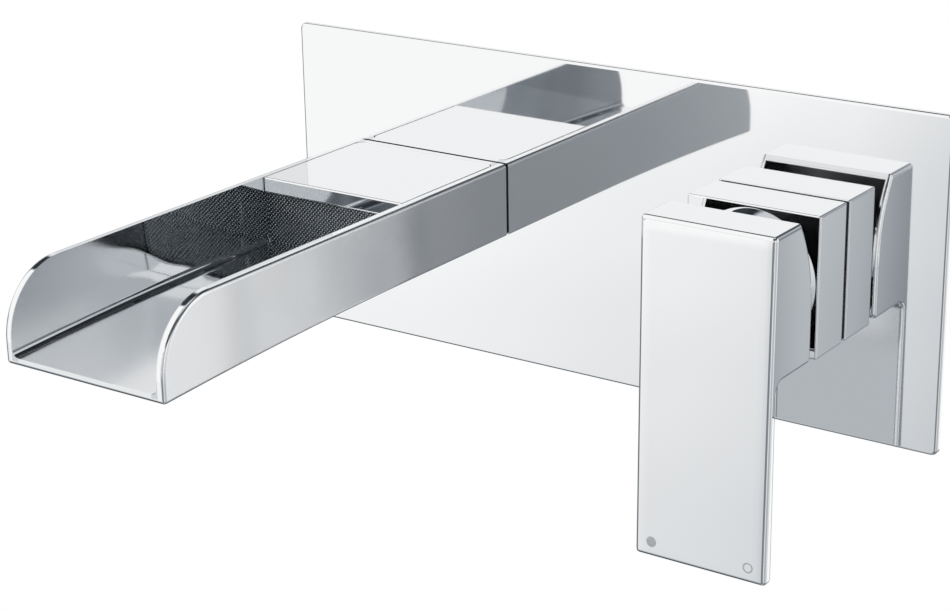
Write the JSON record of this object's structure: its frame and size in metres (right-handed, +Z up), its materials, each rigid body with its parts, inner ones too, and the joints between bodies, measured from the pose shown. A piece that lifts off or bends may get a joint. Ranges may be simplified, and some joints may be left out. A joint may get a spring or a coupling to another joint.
{
  "type": "wall-mounted basin mixer",
  "caption": "Wall-mounted basin mixer: bright rectangular plate, open channel spout with lid and mesh screen, hanging square lever, and a brass valve body in the wall.",
  "frame": {"origin": "middle of the cover plate's back face, on the finished wall", "axes": "+X to the right along the wall, +Y into the wall, +Z up"},
  "size_m": [0.225, 0.1963, 0.1295],
  "materials": {
    "plate_chrome": "polished",
    "spout_chrome": "polished",
    "cover_chrome": "polished",
    "shroud_chrome": "polished",
    "lever_chrome": "polished",
    "mesh_steel": "satin",
    "plain_steel": "satin",
    "black_rubber": "matte",
    "foam_gasket": "matte",
    "cast_brass": "as cast and machined",
    "zinc_steel": "zinc plated",
    "white_ceramic": "lapped",
    "cartridge_plastic": "moulded",
    "grey_plastic": "moulded"
  },
  "bodies": {
    "mixer": {"wall_plate": "plate_chrome", "plate_gasket": "foam_gasket", "spout_channel": "spout_chrome", "spout_cover": "cover_chrome", "cover_seal": "black_rubber", "flow_mesh": "mesh_steel", "mesh_frame": "plain_steel", "spout_seal": "black_rubber", "spout_nipple": "cast_brass", "nipple_o_rings": "black_rubber", "spout_lock_nut": "cast_brass", "spout_screws": "plain_steel", "handle_shroud": "shroud_chrome", "shroud_seal": "black_rubber", "dome_cap": "shroud_chrome", "cartridge_housing": "cartridge_plastic", "fixed_disc": "white_ceramic", "cartridge_base": "cartridge_plastic", "port_seals": "black_rubber", "cartridge_nut": "cast_brass", "valve_body": "cast_brass", "hot_union": "cast_brass", "cold_union": "cast_brass", "union_o_rings": "black_rubber", "hot_check_valve": "grey_plastic", "cold_check_valve": "grey_plastic", "inlet_strainers": "plain_steel", "wall_bracket": "zinc_steel", "bracket_screws": "zinc_steel"},
    "swivel": {"swivel_carrier": "cartridge_plastic", "pivot_pin": "plain_steel"},
    "lever": {"lever_handle": "lever_chrome", "lever_stem": "cast_brass", "grub_screw": "plain_steel", "grub_plug": "grey_plastic"},
    "disc": {"moving_disc": "white_ceramic", "disc_driver": "cartridge_plastic"}
  },
  "joints": [
    {"name": "temperature", "type": "hinge", "parent": "mixer", "child": "swivel", "pos_m": [0.0615, -0.01, 0], "axis": [0, 1, 0], "range_deg": [-45, 45]},
    {"name": "lever_lift", "type": "hinge", "parent": "swivel", "child": "lever", "pos_m": [0.0615, -0.01, 0], "axis": [-1, 0, 0], "range_deg": [0, 22]},
    {"name": "disc_slide", "type": "slide", "parent": "swivel", "child": "disc", "axis": [0, 0, -1], "range_m": [0, 0.0032]}
  ],
  "couplings": [
    {"joint": "disc_slide", "follows": "lever_lift", "m_per_rad": 0.00825}
  ]
}
